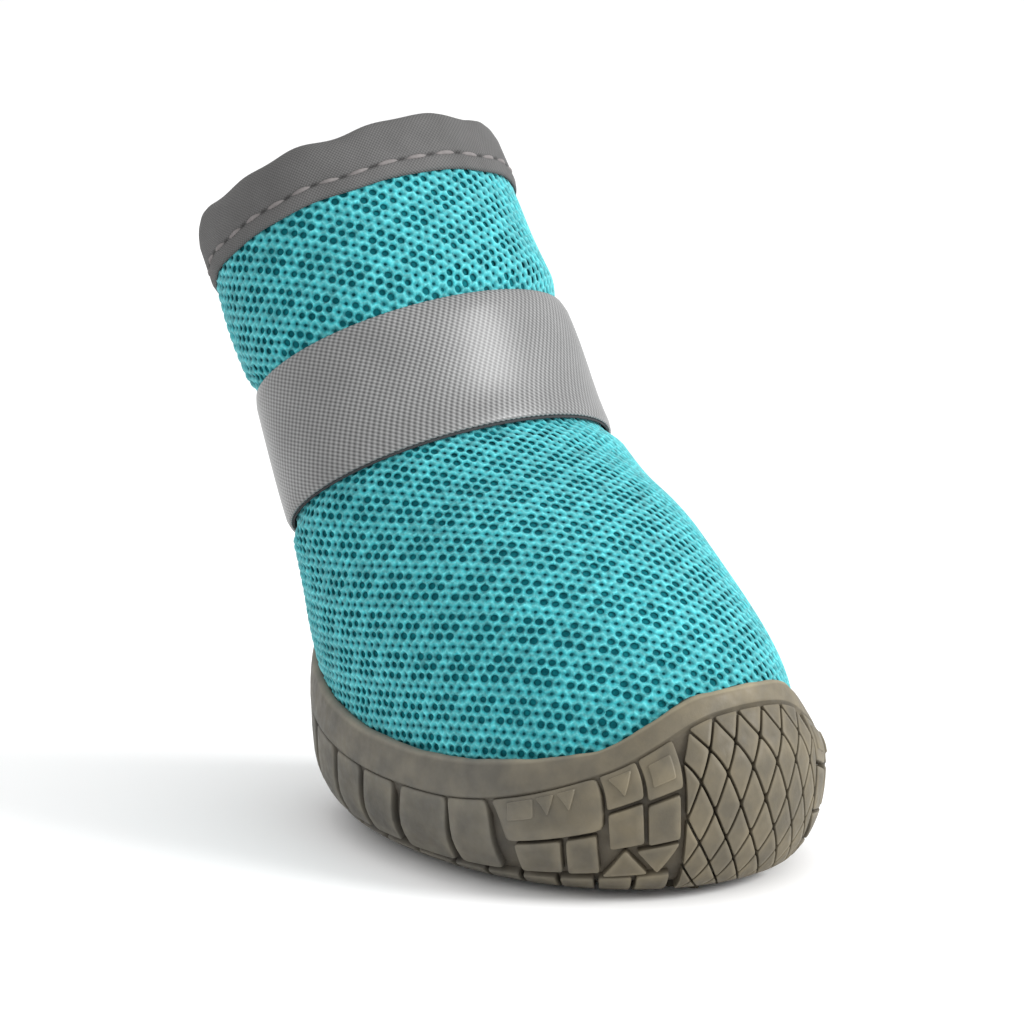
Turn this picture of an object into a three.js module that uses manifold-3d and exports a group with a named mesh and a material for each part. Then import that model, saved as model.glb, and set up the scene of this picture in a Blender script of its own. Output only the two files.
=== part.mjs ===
// A dog boot: a moulded rubber cup sole, a knitted mesh upper, an insole, a bound collar
// and one wrap strap. Millimetres, toe along +X, the boot's left along +Y, +Z up.

import * as THREE from 'three';
import Module from 'manifold-3d';

const wasm = await Module();
wasm.setup();

const { lerp, smoothstep, degToRad, radToDeg } = THREE.MathUtils;

// Driving sizes
const GAP = 0.3; // clearance between curved pieces that meet
const WALL = 1.8; // upper: mesh with its lining
const FLOOR_HEIGHT = 3.0; // top of the rubber under the foot
const LUG_HEIGHT = 1.1; // depth of the tread, under the sole and up its side
const LUG_ROOT = 0.6; // how far a lug runs into the rubber behind it
const LUG_DRAFT = 0.92; // a lug's outer face as a share of its foot
const BINDING_THICK = 0.5;
const BINDING_RISE = 0.012; // how far the binding stands past the upper's edge, as a share of its height
const STRAP_THICK = 0.9;
const STRAP_CROWN = 0.3; // how much the strap's middle stands proud of its edges
const STRAP_CINCH = 1.2; // how far the strap draws the upper in
const CINCH_EASE = 0.032; // share of the upper's height over which it swells back beside the strap

// Sections of the sole's outer skin, from the edge of the ground contact up to the rim.
// Each is an oval with its own height at the heel, along the side and at the toe.
const SOLE = [
  { backX: -27.5, frontX: 35.0, half: 19.0, widest: 0.58, power: 2.1, heelZ: 0.8, sideZ: 0.0, toeZ: 0.4 },
  { backX: -33.0, frontX: 40.5, half: 24.0, widest: 0.57, power: 2.1, heelZ: 3.2, sideZ: 1.8, toeZ: 2.4 },
  { backX: -36.2, frontX: 43.6, half: 27.2, widest: 0.56, power: 2.1, heelZ: 9.0, sideZ: 6.0, toeZ: 9.0 },
  { backX: -37.0, frontX: 43.8, half: 27.9, widest: 0.56, power: 2.1, heelZ: 18.0, sideZ: 11.5, toeZ: 18.0 },
  { backX: -36.6, frontX: 39.8, half: 27.3, widest: 0.56, power: 2.1, heelZ: 26.8, sideZ: 16.4, toeZ: 22.2 },
];
const TOE_SHARP = 2.2; // how late the skin's lines climb to the toe
const HEEL_SHARP = 2.2; // how late they climb to the heel
// The toe cap: how far the rim rises there, in degrees from the toe where it starts and levels off,
// and how fast the rise fades below the rim
const TOE_CAP = { rise: 4.5, start: 42, level: 11, fade: 6 };
const RIM_START = { side: 0.765, toe: 0.95, heel: 0.8 }; // lower edge of the smooth rim band
const RIM_LIP = 1.2; // rounding of the rim's top edge

// Sections of the upper's outer face, from the sole seat to the collar.
// Each is an oval that leans further back the higher it lies.
const UPPER = [
  { backX: -29.5, backZ: 3.3, frontX: 36.0, frontZ: 3.3, half: 21.0, widest: 0.56, power: 2.15 },
  { backX: -33.4, backZ: 9.8, frontX: 39.4, frontZ: 12.5, half: 25.2, widest: 0.55, power: 2.1 },
  { backX: -34.6, backZ: 16.8, frontX: 36.8, frontZ: 26.6, half: 26.0, widest: 0.53, power: 2.05 },
  { backX: -34.6, backZ: 25.0, frontX: 19.0, frontZ: 43.0, half: 26.4, widest: 0.5, power: 2.0 },
  { backX: -34.2, backZ: 35.1, frontX: -2.9, frontZ: 56.3, half: 25.5, widest: 0.5, power: 2.0 },
  { backX: -43.2, backZ: 51.2, frontX: -11.6, frontZ: 72.3, half: 24.2, widest: 0.5, power: 2.0 },
  { backX: -58.0, backZ: 73.6, frontX: -26.4, frontZ: 95.2, half: 21.6, widest: 0.5, power: 2.15 },
];
const STRAP_LOW = 4 / 6; // the strap lies between these two shares of the upper's height
const STRAP_HIGH = 5 / 6;
const BINDING_LOW = 0.947;
const UPPER_TOP = 0.984;
const INSOLE_TOP = 0.035;
const CUP_TOP = 0.62; // the cup's hollow is cut this far up, well past the rim

// The strap starts on the boot's left, runs once round and ends over its own start, degrees from the toe
const STRAP_START = 100;
const STRAP_OVERLAP = 62;
const STRAP_RAMP = 26; // turn over which the outer end climbs onto the start

// Lugs up the side, in degrees from the toe and in shares of the height below the rim band, on both
// sides. A block's top edge is shifted by its lean and widened by its flare.
const SIDE_LUGS = [
  { kind: 'block', from: 23.5, to: 32.3, low: 0.76, high: 0.985, lean: 0, flare: 0.2 },
  { kind: 'block', from: 33.4, to: 42.2, low: 0.78, high: 0.985, lean: 0, flare: 0.2 },
  { kind: 'block', from: 24, to: 32, low: 0.56, high: 0.735, lean: 0.3, flare: 0 },
  { kind: 'block', from: 33.2, to: 41.5, low: 0.575, high: 0.755, lean: 0.5, flare: 0 },
  { kind: 'point_down', from: 24, to: 35, low: 0.385, high: 0.54, lean: 0, flare: 0 },
  { kind: 'point_up', from: 32, to: 44, low: 0.385, high: 0.555, lean: 0, flare: 0 },
  { kind: 'block', from: 43.5, to: 66.5, low: 0.69, high: 0.985, lean: 1.6, flare: 1.6 },
  { kind: 'block', from: 44.5, to: 52.5, low: 0.42, high: 0.665, lean: 0, flare: -0.4 },
  { kind: 'block', from: 54, to: 64.5, low: 0.43, high: 0.665, lean: 0, flare: 0.4 },
  { kind: 'block', from: 70, to: 81.5, low: 0.43, high: 0.985, lean: 0.8, flare: -0.6 },
  { kind: 'block', from: 84, to: 96.5, low: 0.42, high: 0.985, lean: -2, flare: -0.4 },
  { kind: 'block', from: 98.5, to: 107, low: 0.45, high: 0.985, lean: -2, flare: 0 },
  { kind: 'block', from: 108.8, to: 117.5, low: 0.45, high: 0.985, lean: -2, flare: 0 },
  { kind: 'block', from: 119.5, to: 130.5, low: 0.45, high: 0.985, lean: -2, flare: 0 },
  { kind: 'block', from: 132.5, to: 145, low: 0.45, high: 0.985, lean: -1.5, flare: 0 },
  { kind: 'block', from: 147, to: 161, low: 0.45, high: 0.985, lean: -1.5, flare: 0 },
  { kind: 'block', from: 163, to: 178.5, low: 0.45, high: 0.985, lean: -0.8, flare: 0 },
];

// Lugs of the ring where the sole turns under, a loop along each side
const EDGE_LUGS = { count: 15, from: 26, to: 179, fill: 0.86, low: 0.065, high: 0.365 };

// Rhombic lugs that wrap the toe
const TOE_LUGS = { columns: 6, half: 22.5, low: 0.055, high: 0.985, rows: 4, fill: 0.9 };

// Lugs of the tread's middle panel. A row with both: true has a twin on the other side.
const TREAD_LUGS = [
  { kind: 'triangle', x: -22.6, y: 4.3, long: 6.4, wide: 7.0, turn: 200, both: true },
  { kind: 'triangle', x: -18.0, y: 2.3, long: 3.6, wide: 5.6, turn: 90, both: true },
  { kind: 'triangle', x: -16.6, y: 8.4, long: 4.6, wide: 5.0, turn: 120, both: true },
  { kind: 'hexagon', x: -12.0, y: 0, long: 5.0, wide: 5.0, turn: 0, both: false },
  { kind: 'hexagon', x: -6.2, y: 0, long: 5.0, wide: 5.0, turn: 0, both: false },
  { kind: 'hexagon', x: -0.4, y: 0, long: 5.0, wide: 5.0, turn: 0, both: false },
  { kind: 'hexagon', x: 5.4, y: 0, long: 5.0, wide: 5.0, turn: 0, both: false },
  { kind: 'hexagon', x: -9.6, y: -9.6, long: 12.0, wide: 11.6, turn: 15, both: false },
  { kind: 'leaf', x: -10.2, y: 9.4, long: 11.6, wide: 6.6, turn: 38, both: false },
  { kind: 'triangle', x: -4.6, y: 5.2, long: 4.2, wide: 4.4, turn: 80, both: false },
  { kind: 'leaf', x: -1.6, y: 10.6, long: 9.6, wide: 5.6, turn: 62, both: false },
  { kind: 'leaf', x: 5.8, y: 8.6, long: 9.6, wide: 6.2, turn: 52, both: false },
  { kind: 'leaf', x: -0.6, y: -9.8, long: 11.0, wide: 5.6, turn: 84, both: false },
  { kind: 'leaf', x: 6.4, y: -9.4, long: 11.0, wide: 5.6, turn: 112, both: false },
  { kind: 'rhombus', x: 10.4, y: 0, long: 12.0, wide: 3.2, turn: 90, both: false },
  { kind: 'triangle', x: 14.6, y: 5.2, long: 6.4, wide: 7.4, turn: -35, both: true },
  { kind: 'triangle', x: 18.6, y: 2.4, long: 4.0, wide: 7.0, turn: 90, both: true },
  { kind: 'triangle', x: 13.4, y: 13.0, long: 5.0, wide: 5.4, turn: -60, both: true },
  { kind: 'triangle', x: 18.4, y: 10.4, long: 5.0, wide: 5.4, turn: 120, both: true },
  { kind: 'triangle', x: 23.6, y: 8.6, long: 5.0, wide: 5.4, turn: -60, both: true },
  { kind: 'triangle', x: 24.0, y: 2.9, long: 4.6, wide: 4.6, turn: 40, both: true },
];

// Corners of a tread lug, in shares of half its length and half its width
const TREAD_SHAPES = {
  triangle: [[1, 0], [-0.8, 1], [-0.8, -1]],
  rhombus: [[1, 0], [0, 1], [-1, 0], [0, -1]],
  leaf: [[1, 0.15], [0.45, 1], [-0.75, 0.7], [-1, -0.4], [-0.6, -1], [0.6, -0.8]],
  hexagon: [[1, 0], [0.5, 0.87], [-0.5, 0.87], [-1, 0], [-0.5, -0.87], [0.5, -0.87]],
};

// Rhombic lugs under the toe, on the flat of the tread
const UNDER_TOE_LUGS = {
  fromX: 28.4, rows: 3, pitchX: 2.5, pitchY: 3.5, long: 4.0, wide: 2.7, halfY: 8, narrowing: 2,
};

// How finely the round forms are faceted
const AROUND = 40;
const FOOT_SHARES = [0, 0.06, 0.12, 0.2, 0.28, 0.36, 0.43, 0.5, 0.57];
const SHAFT_SHARES = [STRAP_LOW - CINCH_EASE, STRAP_LOW, 0.75, STRAP_HIGH, STRAP_HIGH + CINCH_EASE, 0.92];
const UPPER_SHARES = [...FOOT_SHARES, ...SHAFT_SHARES];
const CUP_SHARES = UPPER_SHARES.filter((share) => share < CUP_TOP);
const SKIN_SHARES = [0, 0.14, 0.3, 0.46, 0.62, 0.8, 1]; // of the height below the rim band
const BAND_SHARES = [0, 0.5, 0.9]; // of the rim band's height
const STRAP_STATIONS = 48;

// Materials
const MATERIALS = {
  mesh: new THREE.MeshStandardMaterial({ color: 0x3fa3ad, roughness: 0.85, metalness: 0 }),
  rubber: new THREE.MeshStandardMaterial({ color: 0x625f57, roughness: 0.6, metalness: 0 }),
  tape: new THREE.MeshStandardMaterial({ color: 0xa9a9a9, roughness: 0.4, metalness: 0 }),
  binding: new THREE.MeshStandardMaterial({ color: 0x747577, roughness: 0.8, metalness: 0 }),
  foam: new THREE.MeshStandardMaterial({ color: 0x2c3a3d, roughness: 0.9, metalness: 0 }),
};

// Spline through a table's rows: share 0 is the first row and 1 the last.
// Past the last row the form runs on in a straight line.
function section(rows, share) {
  const last = rows.length - 1;
  const place = share * last;
  const index = Math.min(Math.max(Math.floor(place), 0), last - 1);
  const step = place - index;
  const blended = {};
  for (const column of Object.keys(rows[0])) {
    const from = rows[index][column];
    const to = rows[index + 1][column];
    const before = index > 0 ? rows[index - 1][column] : 2 * from - to;
    const after = index + 2 <= last ? rows[index + 2][column] : 2 * to - from;
    blended[column] = step > 1 ? lerp(from, to, step) : catmullRom(before, from, to, after, step);
  }
  return blended;
}

function catmullRom(before, from, to, after, step) {
  const slopeFrom = (to - before) / 2;
  const slopeTo = (after - from) / 2;
  const cube = (2 * from - 2 * to + slopeFrom + slopeTo) * step ** 3;
  const square = (3 * to - 3 * from - 2 * slopeFrom - slopeTo) * step ** 2;
  return cube + square + slopeFrom * step + from;
}

// A point of a superellipse, from its angle about the middle, 0 at the toe and 90 degrees on the left
function ovalPoint(shape, angle) {
  const along = Math.cos(angle);
  const across = Math.sin(angle);
  const reach = Math.abs(along) ** (2 / shape.power);
  const spread = Math.sign(across) * Math.abs(across) ** (2 / shape.power);
  const endX = along > 0 ? shape.frontX : shape.backX;
  const endZ = along > 0 ? shape.frontZ : shape.backZ;
  const x = lerp(lerp(shape.backX, shape.frontX, shape.widest), endX, reach);
  const z = lerp(lerp(shape.backZ, shape.frontZ, shape.widest), endZ, reach);
  return new THREE.Vector3(x, shape.half * spread, z);
}

// How far the strap draws the upper in at a share of its height
function cinch(share) {
  const below = smoothstep(share, STRAP_LOW - CINCH_EASE, STRAP_LOW);
  const above = smoothstep(share, STRAP_HIGH, STRAP_HIGH + CINCH_EASE);
  return STRAP_CINCH * (below - above);
}

// A point of the upper's outer face, or of that face moved out in the section's own plane
function upperPoint(share, angle, out) {
  const shape = section(UPPER, share);
  const slope = Math.atan2(shape.frontZ - shape.backZ, shape.frontX - shape.backX);
  const reach = out - cinch(share);
  shape.backX -= reach * Math.cos(slope);
  shape.backZ -= reach * Math.sin(slope);
  shape.frontX += reach * Math.cos(slope);
  shape.frontZ += reach * Math.sin(slope);
  shape.half += reach;
  return ovalPoint(shape, angle);
}

function solePoint(share, angle) {
  const shape = section(SOLE, share);
  const point = ovalPoint({ ...shape, backZ: 0, frontZ: 0 }, angle);
  const along = Math.cos(angle);
  const endZ = along > 0 ? shape.toeZ : shape.heelZ;
  const sharp = along > 0 ? TOE_SHARP : HEEL_SHARP;
  const fromToe = Math.abs(radToDeg(Math.atan2(Math.sin(angle), along)));
  const cap = 1 - smoothstep(fromToe, TOE_CAP.level, TOE_CAP.start);
  point.z = lerp(shape.sideZ, endZ, Math.abs(along) ** sharp) + TOE_CAP.rise * cap * share ** TOE_CAP.fade;
  return point;
}

// A point of the sole's outer skin moved out along the skin's normal
function skinPoint(share, angle, out) {
  const nudge = 0.01;
  const above = solePoint(Math.min(share + nudge, 1), angle);
  const below = solePoint(Math.max(share - nudge, 0), angle);
  const ahead = solePoint(share, angle + nudge);
  const behind = solePoint(share, angle - nudge);
  const normal = ahead.sub(behind).cross(above.sub(below)).normalize();
  return solePoint(share, angle).addScaledVector(normal, out);
}

function rimStart(angle) {
  const end = Math.cos(angle) > 0 ? RIM_START.toe : RIM_START.heel;
  return lerp(RIM_START.side, end, Math.cos(angle) ** 2);
}

// One ring of points round the boot
function ring(place) {
  const angles = Array.from({ length: AROUND }, (_, index) => (2 * Math.PI * index) / AROUND);
  return angles.map(place);
}

function middleOf(points) {
  const sum = points.reduce((total, point) => total.add(point), new THREE.Vector3());
  return sum.divideScalar(points.length);
}

// A closed body from equal rings of points. A loop joins the last ring to the first,
// and otherwise each end is closed by a fan to its middle.
function loft(rings, loop = false) {
  const count = rings[0].length;
  const points = rings.flat();
  const triangles = [];
  const joins = loop ? rings.length : rings.length - 1;
  for (let level = 0; level < joins; level += 1) {
    const low = level * count;
    const high = ((level + 1) % rings.length) * count;
    for (let index = 0; index < count; index += 1) {
      const next = (index + 1) % count;
      triangles.push(low + index, low + next, high + next);
      triangles.push(low + index, high + next, high + index);
    }
  }
  if (!loop) {
    const top = (rings.length - 1) * count;
    const lowMiddle = points.length;
    points.push(middleOf(rings[0]), middleOf(rings.at(-1)));
    for (let index = 0; index < count; index += 1) {
      const next = (index + 1) % count;
      triangles.push(lowMiddle, next, index);
      triangles.push(lowMiddle + 1, top + index, top + next);
    }
  }
  return facingOut(points, triangles);
}

function facingOut(points, triangles) {
  let volume = 0;
  for (let at = 0; at < triangles.length; at += 3) {
    const [a, b, c] = triangles.slice(at, at + 3).map((index) => points[index]);
    volume += a.dot(b.clone().cross(c));
  }
  if (volume < 0) {
    triangles.reverse();
  }
  const geometry = new THREE.BufferGeometry().setFromPoints(points);
  geometry.setIndex(triangles);
  return geometry;
}

function toSolid(geometry) {
  const vertProperties = new Float32Array(geometry.attributes.position.array);
  const triVerts = new Uint32Array(geometry.index.array);
  return new wasm.Manifold(new wasm.Mesh({ numProp: 3, vertProperties, triVerts }));
}

function toGeometry(solid) {
  const { vertProperties, triVerts } = solid.getMesh();
  const geometry = new THREE.BufferGeometry();
  geometry.setAttribute('position', new THREE.BufferAttribute(new Float32Array(vertProperties), 3));
  geometry.setIndex(new THREE.BufferAttribute(new Uint32Array(triVerts), 1));
  return geometry;
}

// A lug: its outline's foot inside the rubber, and the same outline drawn in at its outer face
function lugSolid(foot, face) {
  const middle = middleOf(face);
  const drawnIn = face.map((point) => middle.clone().lerp(point, LUG_DRAFT));
  const count = foot.length;
  const triangles = [];
  for (let index = 0; index < count; index += 1) {
    const next = (index + 1) % count;
    triangles.push(index, next, count + next, index, count + next, count + index);
  }
  for (let index = 1; index < count - 1; index += 1) {
    triangles.push(0, index + 1, index, count, count + index, count + index + 1);
  }
  return toSolid(facingOut([...foot, ...drawnIn], triangles));
}

// A lug on the sole's skin, from corners in degrees from the toe and shares of the height below the rim
function skinLug(corners) {
  const place = (out) => corners.map(([turn, part]) => {
    const angle = degToRad(turn);
    return skinPoint(part * rimStart(angle), angle, out);
  });
  return lugSolid(place(-LUG_HEIGHT - LUG_ROOT), place(0));
}

function sideLugCorners({ kind, from, to, low, high, lean, flare }) {
  const middle = (from + to) / 2;
  if (kind === 'point_down') {
    return [[middle, low], [to, high], [from, high]];
  }
  if (kind === 'point_up') {
    return [[from, low], [to, low], [middle, high]];
  }
  return [[from, low], [to, low], [to + lean + flare, high], [from + lean - flare, high]];
}

function mirrored(corners) {
  return corners.map(([turn, part]) => [-turn, part]);
}

function sideLugs() {
  const left = SIDE_LUGS.map(sideLugCorners);
  return [...left, ...left.map(mirrored)].map(skinLug);
}

function edgeLugs() {
  const { count, from, to, fill, low, high } = EDGE_LUGS;
  const pitch = (to - from) / count;
  const left = Array.from({ length: count }, (_, index) => {
    const start = from + index * pitch;
    const end = start + fill * pitch;
    return [[start, low], [end, low], [end, high], [start, high]];
  });
  return [...left, ...left.map(mirrored)].map(skinLug);
}

// Two nested grids of rhombi, the second shifted by half a cell each way and cut in half at the borders
function toeLugs() {
  const { columns, half, low, high, rows, fill } = TOE_LUGS;
  const wide = (2 * half) / columns;
  const tall = (high - low) / rows;
  const [across, up] = [(fill * wide) / 2, (fill * tall) / 2];
  const rhombus = (turn, part) => {
    return [[turn + across, part], [turn, part + up], [turn - across, part], [turn, part - up]];
  };
  const lugs = [];
  for (let row = 0; row < rows; row += 1) {
    for (let column = 0; column < columns; column += 1) {
      lugs.push(rhombus(-half + (column + 0.5) * wide, low + (row + 0.5) * tall));
    }
  }
  for (let row = 1; row <= rows; row += 1) {
    for (let column = 1; column < columns; column += 1) {
      const corners = rhombus(-half + column * wide, low + row * tall);
      lugs.push(row < rows ? corners : corners.filter(([, part]) => part < high + up / 2));
    }
  }
  for (let row = 1; row < rows; row += 1) {
    const corners = rhombus(half, low + row * tall).filter(([turn]) => turn < half + across / 2);
    lugs.push(corners, mirrored(corners));
  }
  return lugs.map(skinLug);
}

// A lug under the sole, with its outer face on the ground plane
function treadLug({ kind, x, y, long, wide, turn }, side) {
  const axis = new THREE.Vector3(0, 0, 1);
  const place = (height) => TREAD_SHAPES[kind].map(([along, across]) => {
    const point = new THREE.Vector3((along * long) / 2, (across * wide) / 2, height);
    point.applyAxisAngle(axis, degToRad(turn)).add(new THREE.Vector3(x, y, 0));
    point.y *= side;
    return point;
  });
  return lugSolid(place(LUG_HEIGHT + 2 * LUG_ROOT), place(0));
}

function treadLugs() {
  const twins = TREAD_LUGS.filter((row) => row.both);
  return [...TREAD_LUGS.map((row) => treadLug(row, 1)), ...twins.map((row) => treadLug(row, -1))];
}

function underToeLugs() {
  const { fromX, rows, pitchX, pitchY, long, wide, halfY, narrowing } = UNDER_TOE_LUGS;
  const lugs = [];
  for (let row = 0; row < rows; row += 1) {
    const reach = halfY - narrowing * row;
    const start = row % 2 === 0 ? 0 : pitchY / 2;
    for (let y = start; y <= reach; y += pitchY) {
      const rhombus = { kind: 'rhombus', x: fromX + row * pitchX, y, long, wide, turn: 0 };
      lugs.push(...(y > 0 ? [1, -1] : [1]).map((side) => treadLug(rhombus, side)));
    }
  }
  return lugs;
}

// The rubber behind the lugs, stepped out to the full skin at the smooth rim band
function soleCore() {
  const skin = SKIN_SHARES.map((part) => {
    return ring((angle) => skinPoint(part * rimStart(angle), angle, -LUG_HEIGHT));
  });
  const band = BAND_SHARES.map((part) => {
    return ring((angle) => skinPoint(lerp(rimStart(angle), 1, part), angle, 0));
  });
  const lip = ring((angle) => skinPoint(1, angle, -RIM_LIP / 2));
  const ledge = lip.map((point) => new THREE.Vector3(point.x / 2, point.y / 2, point.z));
  return toSolid(loft([...skin, ...band, lip, ledge]));
}

// The hollow that the upper stands in: the upper's own form, grown by the clearance
function cupHollow() {
  const walls = CUP_SHARES.map((share) => ring((angle) => upperPoint(share, angle, GAP)));
  walls[0].forEach((point) => point.setZ(FLOOR_HEIGHT));
  return toSolid(loft(walls));
}

function outsole() {
  const lugs = [...sideLugs(), ...edgeLugs(), ...toeLugs(), ...treadLugs(), ...underToeLugs()];
  const treaded = lugs.reduce((body, lug) => body.add(lug), soleCore());
  return toGeometry(treaded.subtract(cupHollow()));
}

// The mesh wall, open at the collar and underneath
function upper() {
  const shares = [...UPPER_SHARES, UPPER_TOP];
  const outside = shares.map((share) => ring((angle) => upperPoint(share, angle, 0)));
  const inside = shares.map((share) => ring((angle) => upperPoint(share, angle, -WALL)));
  return loft([...outside, ...inside.reverse()], true);
}

function insole() {
  return loft([0, INSOLE_TOP].map((share) => ring((angle) => upperPoint(share, angle, -WALL - GAP))));
}

// A tape folded over the collar's edge: its section runs up outside, over and down inside
function collarBinding() {
  const rise = UPPER_TOP + BINDING_RISE;
  const clear = UPPER_TOP + BINDING_RISE / 4;
  const profile = [
    { share: BINDING_LOW, out: GAP },
    { share: BINDING_LOW, out: GAP + BINDING_THICK },
    { share: UPPER_TOP, out: GAP + BINDING_THICK },
    { share: rise, out: GAP },
    { share: rise, out: -WALL - GAP },
    { share: UPPER_TOP, out: -WALL - GAP - BINDING_THICK },
    { share: BINDING_LOW, out: -WALL - GAP - BINDING_THICK },
    { share: BINDING_LOW, out: -WALL - GAP },
    { share: clear, out: -WALL - GAP },
    { share: clear, out: GAP },
  ];
  return loft(profile.map(({ share, out }) => ring((angle) => upperPoint(share, angle, out))), true);
}

// A strip wound once round the shaft, its end lying over its start
function strap() {
  const turnEnd = STRAP_START + 360 + STRAP_OVERLAP;
  const climb = STRAP_THICK + STRAP_CROWN + GAP;
  const stations = Array.from({ length: STRAP_STATIONS }, (_, index) => {
    const turn = lerp(STRAP_START, turnEnd, index / (STRAP_STATIONS - 1));
    const lift = climb * smoothstep(turn, STRAP_START + 360 - STRAP_RAMP, STRAP_START + 360);
    const edge = GAP + lift;
    const profile = [
      { across: 0, out: edge },
      { across: 0, out: edge + STRAP_THICK },
      { across: 0.25, out: edge + STRAP_THICK + STRAP_CROWN },
      { across: 0.75, out: edge + STRAP_THICK + STRAP_CROWN },
      { across: 1, out: edge + STRAP_THICK },
      { across: 1, out: edge },
      { across: 0.5, out: edge },
    ];
    return profile.map(({ across, out }) => {
      return upperPoint(lerp(STRAP_LOW, STRAP_HIGH, across), degToRad(turn), out);
    });
  });
  return loft(stations);
}

function addPiece(group, name, geometry, material) {
  const piece = new THREE.Mesh(geometry, material);
  piece.name = name;
  group.add(piece);
}

const boot = new THREE.Group();
addPiece(boot, 'outsole', outsole(), MATERIALS.rubber);
addPiece(boot, 'upper', upper(), MATERIALS.mesh);
addPiece(boot, 'insole', insole(), MATERIALS.foam);
addPiece(boot, 'collar_binding', collarBinding(), MATERIALS.binding);
addPiece(boot, 'strap', strap(), MATERIALS.tape);

// The boot stands with the middle of its box over the origin
const box = new THREE.Box3().setFromObject(boot);
const middle = box.getCenter(new THREE.Vector3());
boot.position.set(-middle.x, -middle.y, -box.min.z);

export default boot;
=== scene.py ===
"""A dog boot: knitted mesh upper, lugged rubber cup sole, bound collar and a wrap strap.

Sizes are in millimetres in the boot's own frame: toe along +X, the boot's left along +Y, +Z up.
"""
import math

import bpy
import numpy as np
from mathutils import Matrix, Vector


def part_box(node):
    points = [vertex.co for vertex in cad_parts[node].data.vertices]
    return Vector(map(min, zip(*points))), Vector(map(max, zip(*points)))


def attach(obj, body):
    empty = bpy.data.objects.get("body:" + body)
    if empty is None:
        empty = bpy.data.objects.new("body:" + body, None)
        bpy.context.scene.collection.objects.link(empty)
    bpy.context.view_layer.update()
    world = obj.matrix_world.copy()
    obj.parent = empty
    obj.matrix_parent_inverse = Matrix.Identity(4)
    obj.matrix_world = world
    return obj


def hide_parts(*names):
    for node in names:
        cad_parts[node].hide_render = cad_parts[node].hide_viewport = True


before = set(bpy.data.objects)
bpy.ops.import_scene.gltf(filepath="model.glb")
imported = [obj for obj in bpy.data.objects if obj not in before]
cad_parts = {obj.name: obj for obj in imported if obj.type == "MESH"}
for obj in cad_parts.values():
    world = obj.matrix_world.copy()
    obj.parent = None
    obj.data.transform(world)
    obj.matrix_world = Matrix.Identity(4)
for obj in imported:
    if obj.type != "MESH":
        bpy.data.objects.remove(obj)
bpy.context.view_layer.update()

MM = 0.001
TURN = 2 * math.pi

# Sizes shared with the solids
GAP = 0.3
WALL = 1.8
FLOOR_HEIGHT = 3.0
LUG_HEIGHT = 1.1
BINDING_THICK = 0.5
BINDING_RISE = 0.012
STRAP_THICK = 0.9
STRAP_CROWN = 0.3
STRAP_CINCH = 1.2
CINCH_EASE = 0.032

# Sections of the sole's outer skin, from the edge of the ground contact up to the rim
SOLE = [
    dict(back_x=-27.5, front_x=35.0, half=19.0, widest=0.58, power=2.1, heel_z=0.8, side_z=0.0, toe_z=0.4),
    dict(back_x=-33.0, front_x=40.5, half=24.0, widest=0.57, power=2.1, heel_z=3.2, side_z=1.8, toe_z=2.4),
    dict(back_x=-36.2, front_x=43.6, half=27.2, widest=0.56, power=2.1, heel_z=9.0, side_z=6.0, toe_z=9.0),
    dict(back_x=-37.0, front_x=43.8, half=27.9, widest=0.56, power=2.1, heel_z=18.0, side_z=11.5, toe_z=18.0),
    dict(back_x=-36.6, front_x=39.8, half=27.3, widest=0.56, power=2.1, heel_z=26.8, side_z=16.4, toe_z=22.2),
]
END_SHARP = 2.2
TOE_CAP = dict(rise=4.5, start=42, level=11, fade=6)
RIM_START = dict(side=0.765, toe=0.95, heel=0.8)

# Sections of the upper's outer face, from the sole seat to the collar
UPPER = [
    dict(back_x=-29.5, back_z=3.3, front_x=36.0, front_z=3.3, half=21.0, widest=0.56, power=2.15),
    dict(back_x=-33.4, back_z=9.8, front_x=39.4, front_z=12.5, half=25.2, widest=0.55, power=2.1),
    dict(back_x=-34.6, back_z=16.8, front_x=36.8, front_z=26.6, half=26.0, widest=0.53, power=2.05),
    dict(back_x=-34.6, back_z=25.0, front_x=19.0, front_z=43.0, half=26.4, widest=0.5, power=2.0),
    dict(back_x=-34.2, back_z=35.1, front_x=-2.9, front_z=56.3, half=25.5, widest=0.5, power=2.0),
    dict(back_x=-43.2, back_z=51.2, front_x=-11.6, front_z=72.3, half=24.2, widest=0.5, power=2.0),
    dict(back_x=-58.0, back_z=73.6, front_x=-26.4, front_z=95.2, half=21.6, widest=0.5, power=2.15),
]
STRAP_LOW, STRAP_HIGH = 4 / 6, 5 / 6
BINDING_LOW = 0.947
UPPER_TOP = 0.984
INSOLE_TOP = 0.035

# The strap's start, overlap and climb, in degrees from the toe
STRAP_START, STRAP_OVERLAP, STRAP_RAMP = 100, 62, 26
STRAP_STEPS = 360

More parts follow.
